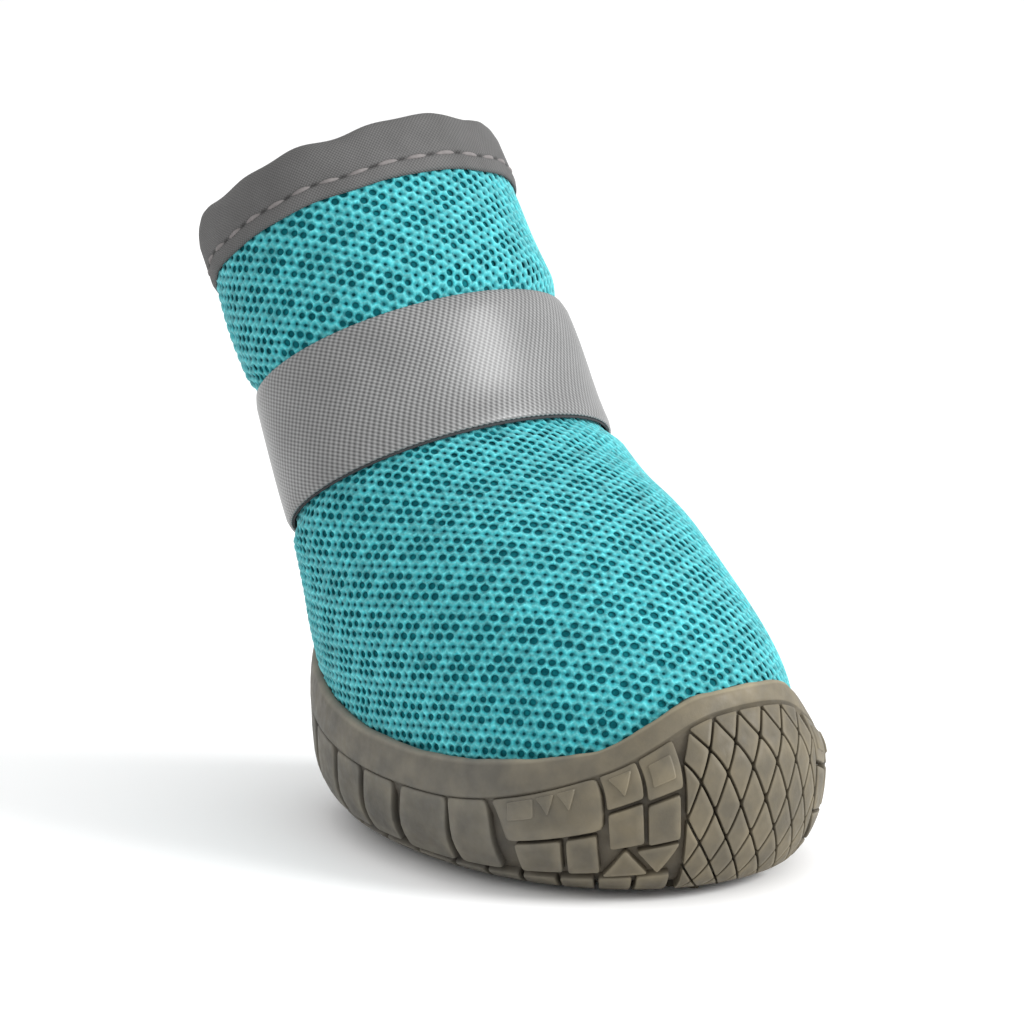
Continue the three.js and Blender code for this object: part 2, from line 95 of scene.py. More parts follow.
# Soft troughs (depth below 0) and ridges of the upper, in degrees from the toe and shares of its height
CREASES = [
    dict(turn=-38, share=0.60, long=34, wide=0.035, tilt=0.0012, depth=-0.5),
    dict(turn=30, share=0.61, long=30, wide=0.035, tilt=-0.0012, depth=-0.5),
    dict(turn=-95, share=0.56, long=30, wide=0.045, tilt=0.001, depth=-0.45),
    dict(turn=100, share=0.55, long=30, wide=0.045, tilt=-0.001, depth=-0.45),
    dict(turn=-60, share=0.45, long=28, wide=0.06, tilt=0.0, depth=0.4),
    dict(turn=62, share=0.45, long=28, wide=0.06, tilt=0.0, depth=-0.2),
    dict(turn=-70, share=0.89, long=36, wide=0.03, tilt=0.0006, depth=-0.35),
    dict(turn=75, share=0.885, long=40, wide=0.03, tilt=-0.0006, depth=-0.35),
    dict(turn=-15, share=0.90, long=24, wide=0.035, tilt=0.0, depth=0.25),
    dict(turn=180, share=0.62, long=40, wide=0.04, tilt=0.0, depth=-0.6),
    dict(turn=-150, share=0.905, long=45, wide=0.05, tilt=0.0, depth=0.9),
]

# Lugs up the side, in degrees from the toe and in shares of the height below the rim band, on both
# sides. A row is a block if it names no kind. Its top edge is shifted by lean and widened by flare.
SIDE_LUGS = [
    dict(turn=(23.5, 32.3), part=(0.76, 0.985), flare=0.2),
    dict(turn=(33.4, 42.2), part=(0.78, 0.985), flare=0.2),
    dict(turn=(24, 32), part=(0.56, 0.735), lean=0.3),
    dict(turn=(33.2, 41.5), part=(0.575, 0.755), lean=0.5),
    dict(kind="point_down", turn=(24, 35), part=(0.385, 0.54)),
    dict(kind="point_up", turn=(32, 44), part=(0.385, 0.555)),
    dict(turn=(43.5, 66.5), part=(0.69, 0.985), lean=1.6, flare=1.6),
    dict(turn=(44.5, 52.5), part=(0.42, 0.665), flare=-0.4),
    dict(turn=(54, 64.5), part=(0.43, 0.665), flare=0.4),
    dict(turn=(70, 81.5), part=(0.43, 0.985), lean=0.8, flare=-0.6),
    dict(turn=(84, 96.5), part=(0.42, 0.985), lean=-2, flare=-0.4),
    dict(turn=(98.5, 107), part=(0.45, 0.985), lean=-2),
    dict(turn=(108.8, 117.5), part=(0.45, 0.985), lean=-2),
    dict(turn=(119.5, 130.5), part=(0.45, 0.985), lean=-2),
    dict(turn=(132.5, 145), part=(0.45, 0.985), lean=-1.5),
    dict(turn=(147, 161), part=(0.45, 0.985), lean=-1.5),
    dict(turn=(163, 178.5), part=(0.45, 0.985), lean=-0.8),
]

# Low relief on the faces of the side lugs
SIDE_RELIEF = [
    dict(turn=(59.8, 66.2), part=(0.83, 0.955), lean=-0.5),
    dict(kind="point_down", turn=(54, 58.6), part=(0.83, 0.955)),
    dict(kind="point_down", turn=(48.8, 53.4), part=(0.83, 0.955)),
    dict(kind="point_down", turn=(34.8, 40.8), part=(0.82, 0.95)),
    dict(turn=(25, 30.8), part=(0.81, 0.93)),
]
EDGE_LUGS = dict(count=15, turn=(26, 179), fill=0.86, part=(0.065, 0.365))
TOE_LUGS = dict(columns=6, half=22.5, part=(0.055, 0.985), rows=4, fill=0.9)

# Lugs of the tread's middle panel. A row with both has a twin on the other side.
TREAD_LUGS = [
    dict(kind="triangle", x=-22.6, y=4.3, long=6.4, wide=7.0, turn=200, both=True, top="dotted"),
    dict(kind="triangle", x=-18.0, y=2.3, long=3.6, wide=5.6, turn=90, both=True, top="dotted"),
    dict(kind="triangle", x=-16.6, y=8.4, long=4.6, wide=5.0, turn=120, both=True, top="plain"),
    *[
        dict(kind="hexagon", x=x, y=0, long=5.0, wide=5.0, turn=0, top="ringed")
        for x in (-12.0, -6.2, -0.4, 5.4)
    ],
    dict(kind="hexagon", x=-9.6, y=-9.6, long=12.0, wide=11.6, turn=15, top="badge"),
    dict(kind="leaf", x=-10.2, y=9.4, long=11.6, wide=6.6, turn=38, top="ribbed"),
    dict(kind="triangle", x=-4.6, y=5.2, long=4.2, wide=4.4, turn=80, top="plain"),
    dict(kind="leaf", x=-1.6, y=10.6, long=9.6, wide=5.6, turn=62, top="ribbed"),
    dict(kind="leaf", x=5.8, y=8.6, long=9.6, wide=6.2, turn=52, top="ribbed"),
    dict(kind="leaf", x=-0.6, y=-9.8, long=11.0, wide=5.6, turn=84, top="ribbed"),
    dict(kind="leaf", x=6.4, y=-9.4, long=11.0, wide=5.6, turn=112, top="ribbed"),
    dict(kind="rhombus", x=10.4, y=0, long=12.0, wide=3.2, turn=90, top="plain"),
    dict(kind="triangle", x=14.6, y=5.2, long=6.4, wide=7.4, turn=-35, both=True, top="dotted"),
    dict(kind="triangle", x=18.6, y=2.4, long=4.0, wide=7.0, turn=90, both=True, top="dotted"),
    dict(kind="triangle", x=13.4, y=13.0, long=5.0, wide=5.4, turn=-60, both=True, top="dotted"),
    dict(kind="triangle", x=18.4, y=10.4, long=5.0, wide=5.4, turn=120, both=True, top="dotted"),
    dict(kind="triangle", x=23.6, y=8.6, long=5.0, wide=5.4, turn=-60, both=True, top="dotted"),
    dict(kind="triangle", x=24.0, y=2.9, long=4.6, wide=4.6, turn=40, both=True, top="plain"),
]
TREAD_SHAPES = dict(
    triangle=[(1, 0), (-0.8, 1), (-0.8, -1)],
    rhombus=[(1, 0), (0, 1), (-1, 0), (0, -1)],
    leaf=[(1, 0.15), (0.45, 1), (-0.75, 0.7), (-1, -0.4), (-0.6, -1), (0.6, -0.8)],
    hexagon=[(1, 0), (0.5, 0.87), (-0.5, 0.87), (-1, 0), (-0.5, -0.87), (0.5, -0.87)],
)
UNDER_TOE_LUGS = dict(
    from_x=28.4, rows=3, pitch_x=2.5, pitch_y=3.5, long=4.0, wide=2.7, half_y=8, narrowing=2)

# Rings of a lug from its foot to its middle: share of its outline, and height over the skin
FOOT = [(1.05, -LUG_HEIGHT - 0.5), (1.035, -0.7), (1.015, -0.2), (0.985, -0.04), (0.945, 0.0)]
LUG_TOPS = dict(
    plain=FOOT + [(0.5, 0.0), (0.0, 0.0)],
    ringed=FOOT + [
        (0.72, 0.0), (0.66, -0.3), (0.56, -0.3), (0.5, 0.0), (0.24, 0.0), (0.18, -0.25), (0.0, -0.25)],
    badge=FOOT + [
        (0.84, 0.0), (0.81, -0.25), (0.74, -0.25), (0.71, 0.0), (0.66, 0.0), (0.63, -0.3), (0.0, -0.3)],
    dotted=FOOT + [(0.34, 0.0), (0.26, -0.4), (0.0, -0.45)],
    ribbed=[(share, height - 0.4) for share, height in FOOT] + [(0.5, -0.4), (0.0, -0.4)],
    rib=[(1.2, -0.6), (1.0, -0.12), (0.8, 0.0), (0.0, 0.0)],
    raised=[(1.1, -0.12), (1.02, 0.04), (0.94, 0.2), (0.86, 0.24), (0.0, 0.24)],
)
LUG_MIDDLE = 0.004
LUG_EDGE_POINTS, LUG_CORNER = 5, 0.08
RIB_PITCH, RIB_WIDE, RIB_SWEEP, RIB_END, RIB_REACH = 1.25, 0.62, 0.55, 1.2, 0.36

# Lightness of the rubber from 0 to 1, and what is added or taken off: painted shade darkens the grooves,
# their edges, the seat in the cup and the lugs towards their feet; wear lightens the lugs' top edges; a
# painted highlight lightens the rim's lip, and painted light the rim at the toe
LUG_TONE, GROOVE_SHADE_TONE, GROOVE_EDGE_SHADE_TONE, RIM_TONE, SEAT_SHADE_TONE = 0.59, 0.25, 0.45, 0.66, 0.3
LUG_EDGE_WEAR, LIP_HIGHLIGHT, TOE_PAINTED_LIGHT = 0.14, 0.22, 0.12
LUG_EDGE_BAND = (0.93, 1.0)
LUG_SHADE, TOE_LIGHT_SHARP = 0.55, 8

# Steps up the rubber behind the lugs. A groove is shallower near the rim band.
SOLE_AROUND, SOLE_STEPS = 240, 34
GROUND_RINGS = (0.01, 0.3, 0.6, 0.85)
GROOVE_TOP = 0.98
GROOVE_RISE = dict(height=0.6, start=0.86, end=0.97)

# Rings of the sole: (place up to the rim band or across it, height over the skin)
GROOVE_EDGE = [(0.99, -0.4), (0.996, -0.2), (1.0, -0.08)]
RIM_BAND = [(0.04, -0.02), (0.2, 0.05), (0.5, 0.1), (0.75, 0.08), (0.9, 0.02)]

# Rings of the rim's lip: (height over the rim, height over the skin)
RIM_LIP = [(0.0, -0.1), (0.25, -0.3), (0.42, -0.65), (0.45, -0.95), (0.3, -1.4)]

# Inside of the cup, down along the upper and in over the floor
SEAT_DROP, SEAT_OUT, CUP_OUT = 0.3, 0.12, 0.2
CUP_RINGS, FLOOR_RINGS = (0.9, 0.6, 0.3, 0.0), (1.0, 0.5, 0.01)
SEAT_HIGHEST, SEAT_ROUNDS = 0.7, 30

# Unevenness of the rim in mm, and of the binding in shares of the upper: (height, waves round, phase)
RIM_RIPPLE = [(0.06, 5, 0.4), (0.05, 11, 1.3), (0.03, 23, 0.0)]
BINDING_WAVE = [(0.0018, 3, 0.7), (0.0014, 7, 2.0), (0.001, 13, 0.0)]

# Knit of the upper. Every fourth row and slanted column is tight, and the rows are turned from level.
KNIT_PITCH = 1.4
KNIT_ROW = 1.32
KNIT_TURN = -39.0
KNIT_GROUP = 4
KNIT_HOLE = (0.455, 0.41)
KNIT_TIGHT = 0.46
KNIT_JITTER, KNIT_HOLE_SPREAD, KNIT_SEED = 0.05, 0.12, 7
KNIT_LOW = 0.14

# How far the knit goes on below the sole's rim
KNIT_SINK = 3.0

# A cell's points, and the points of its outline where it borders its neighbours in the same row
KNIT_POINTS, KNIT_SIDE_POINTS = 12, [3, 9]

# Height of the knit off the upper, and of the bars between neighbours as a share of the crest
# The crest share also sets the knit's colour, so the lower bars between neighbours are darker as painted
# shade
KNIT_CREST, KNIT_TROUGH, KNIT_BAR = 0.05, -0.28, 0.5
UNROLL_GRID, UNROLL_ROUNDS = (26, 25), 20
LINING_OUT, LINING_STEPS, CLOTH_AROUND = -0.45, 60, 120

# Section of the knit's back seam: mm across, height off the upper, and lightness, which is lighter on the
# welts as a painted highlight and darker in the furrow and at the sunk edges as painted shade
BACK_SEAM = [
    (-1.7, -0.3, 0.2), (-1.4, -0.02, 0.6), (-0.9, 0.08, 0.8), (-0.3, 0.06, 0.7), (0.0, -0.12, 0.2),
    (0.3, 0.06, 0.7), (0.9, 0.08, 0.8), (1.4, -0.02, 0.6), (1.7, -0.3, 0.2),
]
BACK_SEAM_STEPS = 90

# Section of the insole, up its edge: (share of the upper's height, inset)
INSOLE_PROFILE = [
    (0.0, 0.6), (0.0, 0.1), (0.004, 0.0),
    (INSOLE_TOP - 0.006, 0.0), (INSOLE_TOP - 0.001, 0.25), (INSOLE_TOP, 0.8),
]
INSOLE_RINGS, INSOLE_UNDER, INSOLE_DISH = (0.8, 0.55, 0.3, 0.1), 0.02, 0.15

# Stitches of the binding, outside and inside
STITCH_SHARE, STITCH_COUNT, STITCH_FILL = 0.958, 32, 0.7
STITCH_HALF = (0.2, 0.22)
STITCH_STEPS, STITCH_SIDES = 7, 6
STITCH_SHARE_PER_MM = 0.0095
STITCH_TIP, STITCH_ARCH, STITCH_SINK = 0.35, 0.22, 0.12
STITCH_FACES = [dict(sign=1, out=0.62), dict(sign=-1, out=-2.5)]

# Section of the binding, up its outside, over the edge and down its inside: (share, height off the upper)
BINDING_PROFILE = [
    (BINDING_LOW, 0.05), (BINDING_LOW - 0.002, 0.28), (BINDING_LOW + 0.001, 0.58),
    (BINDING_LOW + 0.005, 0.76), (0.9555, 0.76), (STITCH_SHARE, 0.58), (0.9605, 0.77), (UPPER_TOP, 0.8),
    (UPPER_TOP + 0.005, 0.64), (UPPER_TOP + 0.009, 0.28), (UPPER_TOP + 0.0115, -0.3),
    (UPPER_TOP + BINDING_RISE, -0.9), (UPPER_TOP + 0.0115, -1.5), (UPPER_TOP + 0.008, -2.1),
    (UPPER_TOP, -2.5), (0.9605, -2.6), (STITCH_SHARE, -2.5), (BINDING_LOW + 0.004, -2.58),
    (BINDING_LOW, -2.4), (BINDING_LOW - 0.001, -2.0), (BINDING_LOW, -1.85),
]
BINDING_AROUND = 288
BINDING_LOW_WAVE, BINDING_MOST_LIFT, BINDING_SWAY, BINDING_SWAY_PHASE = 0.35, 1.5, 12, 1.0
# Painted shade in the binding's stitch groove: its strength between the stitches and under them
STITCH_GROOVE_SHADE_BETWEEN, STITCH_GROOVE_SHADE_UNDER = 1.0, 0.35

# Sections of the strap's tape and of its backing: (place across, height off the upper)
TAPE_EDGE = [(0.0, 0.6), (-0.004, 0.76), (0.0, 1.0), (0.02, 1.12)]
TAPE_BACK = [(1.0, 0.6), (0.5, 0.6)]
TAPE_FACE = dict(start=0.06, end=0.94, points=15, crown_power=0.6)
# The backing reaches a little past the tape's edges, so a thin dark line shows there: partly the dark backing
# ply, partly painted shadow under the strap's edge
BACKING_AND_EDGE_SHADOW = [
    (-0.012, 0.3), (-0.02, 0.42), (-0.012, 0.56), (0.5, 0.58),
    (1.0, 0.58), (1.008, 0.42), (1.0, 0.3), (0.5, 0.28),
]

# Photograph's view of the boot
CAMERA_AZIMUTH, CAMERA_ELEVATION, CAMERA_DISTANCE = 50.0, 10.5, 560.0
CAMERA_TARGET = (-6.0, 0.0, 42.8)
VIEW_WIDTH, SENSOR_WIDTH = 137.6, 36.0

# Studio, in metres and watts
FLOOR_HALF = 6.0
LIGHTS = [
    dict(name="key", place=(0.92, 0.62, 0.62), size=0.6, power=14.5),
    dict(name="top", place=(-0.1, 0.1, 1.3), size=1.0, power=2.0),
]


def blend_rows(rows, share):
    """Spline through a table's rows as {column: array}: share 0 is the first row and 1 the last."""
    last = len(rows) - 1
    place = np.asarray(share, float) * last
    index = np.clip(np.floor(place).astype(int), 0, last - 1)
    step = place - index
    blended = {}
    for column in rows[0]:
        value = np.array([row[column] for row in rows])
        value = np.concatenate([[2 * value[0] - value[1]], value, [2 * value[-1] - value[-2]]])
        before, start, end, after = (value[index + offset] for offset in range(4))
        slope_start, slope_end = (end - before) / 2, (after - start) / 2
        cube = (2 * start - 2 * end + slope_start + slope_end) * step ** 3
        square = (3 * end - 3 * start - 2 * slope_start - slope_end) * step ** 2
        spline = cube + square + slope_start * step + start
        blended[column] = np.where(step > 1, start + (end - start) * step, spline)
    return blended


def oval_point(shape, angle):
    along, across = np.cos(angle), np.sin(angle)
    reach = np.abs(along) ** (2 / shape["power"])
    spread = np.sign(across) * np.abs(across) ** (2 / shape["power"])
    end_x = np.where(along > 0, shape["front_x"], shape["back_x"])
    end_z = np.where(along > 0, shape["front_z"], shape["back_z"])
    middle_x = shape["back_x"] + shape["widest"] * (shape["front_x"] - shape["back_x"])
    middle_z = shape["back_z"] + shape["widest"] * (shape["front_z"] - shape["back_z"])
    x = middle_x + reach * (end_x - middle_x)
    z = middle_z + reach * (end_z - middle_z)
    return np.stack(np.broadcast_arrays(x, shape["half"] * spread, z), -1)


def ease(value, start, end):
    """Smooth step from 0 at start to 1 at end."""
    step = np.clip((value - start) / (end - start), 0, 1)
    return step * step * (3 - 2 * step)


def cinch(share):
    """How far the strap draws the upper in."""
    share = np.asarray(share, float)
    below = ease(share, STRAP_LOW - CINCH_EASE, STRAP_LOW)
    return STRAP_CINCH * (below - ease(share, STRAP_HIGH, STRAP_HIGH + CINCH_EASE))


def upper_point(share, angle, out):
    """A point of the upper's outer face moved out in its section's own plane."""
    shape = blend_rows(UPPER, share)
    slope = np.arctan2(shape["front_z"] - shape["back_z"], shape["front_x"] - shape["back_x"])
    reach = out - cinch(share)
    shape["back_x"] = shape["back_x"] - reach * np.cos(slope)
    shape["back_z"] = shape["back_z"] - reach * np.sin(slope)
    shape["front_x"] = shape["front_x"] + reach * np.cos(slope)
    shape["front_z"] = shape["front_z"] + reach * np.sin(slope)
    shape["half"] = shape["half"] + reach
    return oval_point(shape, np.asarray(angle, float))


def crease(share, angle):
    """Height of the upper's soft troughs and ridges."""
    height = np.zeros(np.broadcast(share, angle).shape)
    for row in CREASES:
        turn = (np.degrees(angle) - row["turn"] + 180) % 360 - 180
        across = share - row["share"] - row["tilt"] * turn
        height += row["depth"] * np.exp(-((turn / row["long"]) ** 2) - (across / row["wide"]) ** 2)
    return height


def soft_upper(share, angle, out):
    return upper_point(share, angle, out + crease(share, angle))


def sole_point(share, angle):
    shape = blend_rows(SOLE, share)
    shape["back_z"] = shape["front_z"] = np.zeros_like(shape["half"])
    angle = np.asarray(angle, float)
    point = oval_point(shape, angle)
    along = np.cos(angle)
    end_z = np.where(along > 0, shape["toe_z"], shape["heel_z"])
    from_toe = np.abs(np.degrees(np.arctan2(np.sin(angle), along)))
    cap = 1 - ease(from_toe, TOE_CAP["level"], TOE_CAP["start"])
    climb = (end_z - shape["side_z"]) * np.abs(along) ** END_SHARP
    cap_rise = TOE_CAP["rise"] * cap * np.asarray(share) ** TOE_CAP["fade"]
    point[..., 2] = shape["side_z"] + climb + cap_rise
    return point


def skin_point(share, angle, out):
    """A point of the sole's outer skin moved out along the skin's normal."""
    nudge = 0.01
    share, angle = np.asarray(share, float), np.asarray(angle, float)
    around = sole_point(share, angle + nudge) - sole_point(share, angle - nudge)
    above, below = np.minimum(share + nudge, 1), np.maximum(share - nudge, 0)
    up = sole_point(above, angle) - sole_point(below, angle)
    normal = np.cross(around, up)
    normal /= np.linalg.norm(normal, axis=-1, keepdims=True)
    return sole_point(share, angle) + normal * np.asarray(out)[..., None]


def rim_start(angle):
    end = np.where(np.cos(angle) > 0, RIM_START["toe"], RIM_START["heel"])
    return RIM_START["side"] + (end - RIM_START["side"]) * np.cos(angle) ** 2


# The solids stand with the middle of their box over the origin
COLLAR_BACK = upper_point(UPPER_TOP, math.pi, GAP + BINDING_THICK)
BOOT_SHIFT = np.array([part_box("collar_binding")[0][0] / MM - COLLAR_BACK[0], 0.0, 0.0])


def to_frame(points):
    return (np.asarray(points, float) + BOOT_SHIFT) * MM


def grid_faces(rows, columns, wrap=False, loop=False):
    """Quads of a grid. wrap joins the last column to the first, and loop the last row to the first."""
    row = np.arange(rows if loop else rows - 1)[:, None]
    column = np.arange(columns if wrap else columns - 1)[None, :]
    here, above = row * columns, (row + 1) % rows * columns
    beside = (column + 1) % columns
    corners = [here + column, here + beside, above + beside, above + column]
    return np.stack(np.broadcast_arrays(*corners), -1).reshape(-1, 4)


def end_caps(rows, columns):
    """Polygons that close the first and the last row of a grid."""
    last = (rows - 1) * columns
    return [[list(range(columns))[::-1]], [list(range(last, last + columns))]]


def even_turns(count):
    return np.arange(count) * TURN / count


def ripple(waves, angle):
    return sum(height * np.sin(count * angle + phase) for height, count, phase in waves)


def shrink(ring, part):
    return ring.mean(0) + part * (ring - ring.mean(0))


def add_object(name, data):
    obj = bpy.data.objects.new(name, data)
    bpy.context.scene.collection.objects.link(obj)
    return obj


class Shape:
    """Points, faces and per-point values of one piece, joined from many."""

    def __init__(self):
        self.points, self.faces, self.values, self.count = [], [], [], 0

    def add(self, points, faces, value=0.0):
        points = np.asarray(points, float).reshape(-1, 3)
        self.points.append(points)
        self.faces.extend((np.asarray(group) + self.count).tolist() for group in faces)
        self.values.append(np.broadcast_to(np.asarray(value, float).reshape(-1), len(points)))
        self.count += len(points)

    def piece(self, name, material, slot, uv=None):
        mesh = bpy.data.meshes.new(name)
        faces = [face for group in self.faces for face in group]
        mesh.from_pydata(to_frame(np.concatenate(self.points)).tolist(), [], faces)
        mesh.polygons.foreach_set("use_smooth", np.ones(len(mesh.polygons), bool))
        layer = mesh.attributes.new("relief", "FLOAT", "POINT")
        layer.data.foreach_set("value", np.concatenate(self.values).astype(np.float32))
        if uv is not None:
            corner = np.empty(len(mesh.loops), np.int32)
            mesh.loops.foreach_get("vertex_index", corner)
            layer = mesh.uv_layers.new(name="UVMap")
            layer.data.foreach_set("uv", np.asarray(uv, np.float32)[corner].ravel())
        mesh.materials.append(material)
        mesh.update()
        obj = add_object(name, mesh)
        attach(obj, "root")
        return obj


# Materials

def new_material(name, roughness, **sockets):
    material = bpy.data.materials.new(name)
    material.use_nodes = True
    tree = material.node_tree
    shader = tree.nodes["Principled BSDF"]
    shader.inputs["Roughness"].default_value = roughness
    for socket, value in sockets.items():
        shader.inputs[socket.replace("_", " ")].default_value = value
    return material, tree, shader


def add_node(tree, kind, links=(), **settings):
    """A shader node with its settings, and links as {input: output socket or value}."""
    node = tree.nodes.new(kind)
    for name, value in settings.items():
        setattr(node, name, value)
    for name, source in dict(links).items():
        if isinstance(source, bpy.types.NodeSocket):
            tree.links.new(source, node.inputs[name])
        else:
            node.inputs[name].default_value = source
    return node


def ramp(tree, factor, stops):
    """Colours by a factor, from stops of (place, colour)."""
    node = add_node(tree, "ShaderNodeValToRGB", {"Fac": factor})
    elements = node.color_ramp.elements
    for element, (place, colour) in zip(elements, (stops[0], stops[-1])):
        element.position = place
        element.color = (*colour, 1)
    for place, colour in stops[1:-1]:
        elements.new(place).color = (*colour, 1)
    return node.outputs["Color"]


def grey_stops(low, high, start=0.3, end=0.7):
    return [(start, (low,) * 3), (end, (high,) * 3)]


def noise(tree, per_mm, detail=3.0):
    place = add_node(tree, "ShaderNodeTexCoord").outputs["Object"]
    links = {"Vector": place, "Scale": per_mm / MM, "Detail": detail}
    return add_node(tree, "ShaderNodeTexNoise", links).outputs["Fac"]


def math_node(tree, operation, first, second=0.0, third=0.0):
    links = {0: first, 1: second, 2: third}
    return add_node(tree, "ShaderNodeMath", links, operation=operation).outputs[0]


def multiply_colours(tree, first, *others):
    for other in others:
        links = {0: 1.0, 6: first, 7: other}
        node = add_node(tree, "ShaderNodeMix", links, data_type="RGBA", blend_type="MULTIPLY")
        first = node.outputs[2]
    return first


def bump(tree, shader, height, depth_mm, strength):
    links = {"Height": height, "Distance": depth_mm * MM, "Strength": strength}
    tree.links.new(add_node(tree, "ShaderNodeBump", links).outputs["Normal"], shader.inputs["Normal"])


def attribute(tree, name):
    return add_node(tree, "ShaderNodeAttribute", attribute_name=name).outputs["Fac"]


# Colours by lightness or by noise: (place, colour)
RUBBER_TONES = [
    (0.0, (0.045, 0.039, 0.032)), (0.6, (0.1, 0.094, 0.08)), (0.78, (0.14, 0.132, 0.113)),
    (1.0, (0.2, 0.193, 0.165)),
]
RUBBER_DUST = [(0.35, (0.78, 0.77, 0.75)), (0.7, (1.18, 1.13, 1.02))]
# Knit colour by crest share: the yarn's colour, darker towards the holes as painted shade and lighter on the
# crests as a painted highlight
KNIT_SHADED_TONES = [(0.0, (0.0, 0.13, 0.155)), (0.5, (0.03, 0.33, 0.365)), (1.0, (0.1, 0.48, 0.51))]
LINING_TONES = [(0.3, (0.0, 0.07, 0.088)), (0.7, (0.002, 0.15, 0.175))]

# Warm, slightly lighter tint of the toe, by the place along the boot as a share of 50 mm: partly dust and
# partly painted light
TOE_DUST_AND_LIGHT = [(0.5, (1.0, 1.0, 1.0)), (0.85, (1.1, 1.02, 0.85))]
TOE_DUST_AND_LIGHT_PER_MM = 0.02


def rubber_material():
    material, tree, shader = new_material("moulded_rubber", 0.62, Specular_IOR_Level=0.4)
    # The relief attribute holds the rubber's lightness, with painted shade in the grooves and at the lugs'
    # feet and painted light on the lip and the toe's rim
    body = ramp(tree, attribute(tree, "relief"), RUBBER_TONES)
    dust = ramp(tree, noise(tree, per_mm=0.25, detail=5.0), RUBBER_DUST)
    place = add_node(tree, "ShaderNodeTexCoord").outputs["Object"]
    forward = add_node(tree, "ShaderNodeSeparateXYZ", {"Vector": place}).outputs["X"]
    # Partly dust and partly painted light: the toe is warmer and lighter
    toe_dust_and_light = ramp(tree, math_node(tree, "MULTIPLY", forward, TOE_DUST_AND_LIGHT_PER_MM / MM), TOE_DUST_AND_LIGHT)
    tree.links.new(multiply_colours(tree, body, dust, toe_dust_and_light), shader.inputs["Base Color"])
    polish = ramp(tree, noise(tree, per_mm=0.8), grey_stops(0.52, 0.72))
    tree.links.new(polish, shader.inputs["Roughness"])
    bump(tree, shader, noise(tree, per_mm=3.0, detail=4.0), depth_mm=0.05, strength=0.5)
    return material


def knit_material():
    material, tree, shader = new_material("knit_mesh", 0.75, Specular_IOR_Level=0.3, Sheen_Weight=0.15)
    # Painted shade towards the holes and a painted highlight on the crests, by the crest share
    strand_and_shade = ramp(tree, attribute(tree, "relief"), KNIT_SHADED_TONES)
    fibre = ramp(tree, noise(tree, per_mm=1.5, detail=5.0), grey_stops(0.62, 1.32, 0.32, 0.68))
    patch = ramp(tree, noise(tree, per_mm=0.16), grey_stops(0.9, 1.08))
    tree.links.new(multiply_colours(tree, strand_and_shade, fibre, patch), shader.inputs["Base Color"])
    bump(tree, shader, noise(tree, per_mm=4.0, detail=4.0), depth_mm=0.14, strength=0.7)
    return material


def lining_material():
    material, tree, shader = new_material("knit_lining", 0.9, Specular_IOR_Level=0.15)
    tone = ramp(tree, noise(tree, per_mm=1.6, detail=4.0), LINING_TONES)
    tree.links.new(tone, shader.inputs["Base Color"])
    bump(tree, shader, noise(tree, per_mm=2.5), depth_mm=0.1, strength=0.6)
    return material


def weave_height(tree, pitch_mm, slant):
    """Over and under of a woven tape, from its own lengthwise and crosswise millimetres."""
    place = add_node(tree, "ShaderNodeUVMap", uv_map="UVMap").outputs["UV"]
    split = add_node(tree, "ShaderNodeSeparateXYZ", {"Vector": place})
    along, across = split.outputs["X"], split.outputs["Y"]
    lean = math_node(tree, "MULTIPLY", across, slant * TURN / pitch_mm)
    warp = math_node(tree, "SINE", math_node(tree, "MULTIPLY_ADD", along, TURN / pitch_mm, lean))
    weft = math_node(tree, "SINE", math_node(tree, "MULTIPLY", across, TURN / pitch_mm))
    return math_node(tree, "MULTIPLY_ADD", math_node(tree, "MULTIPLY", warp, weft), 0.5, 0.5)


def woven_material(name, dark, light, roughness, pitch_mm, slant, **sockets):
    material, tree, shader = new_material(name, roughness, **sockets)
    height = weave_height(tree, pitch_mm, slant)
    tone = ramp(tree, height, [(0.0, dark), (1.0, light)])
    wear = ramp(tree, noise(tree, per_mm=0.15, detail=4.0), grey_stops(0.88, 1.08))
    # Painted shade in a groove, from the relief attribute: the binding's stitch groove is darkened
    groove = ramp(tree, attribute(tree, "relief"), grey_stops(1.0, 0.3, 0.0, 1.0))
    tree.links.new(multiply_colours(tree, tone, wear, groove), shader.inputs["Base Color"])
    bump(tree, shader, height, depth_mm=0.12, strength=0.8)
    return material


def plain_cloth(name, colour, roughness):
    material, tree, shader = new_material(name, roughness, Specular_IOR_Level=0.2)
    shade = tuple(0.8 * part for part in colour)
    tone = ramp(tree, noise(tree, per_mm=1.5, detail=4.0), [(0.3, shade), (0.7, colour)])
    tree.links.new(tone, shader.inputs["Base Color"])
    bump(tree, shader, noise(tree, per_mm=3.0), depth_mm=0.08, strength=0.5)
    return material


# Upper: knitted mesh over a lining

def complex_rows(triangles, weight, count):
    """Real matrix of each triangle's sum of weight times place, over all points' x and then y."""
    matrix = np.zeros((len(triangles), count), complex)
    matrix[np.arange(len(triangles))[:, None], triangles] = weight
    return np.block([[matrix.real, -matrix.imag], [matrix.imag, matrix.real]])


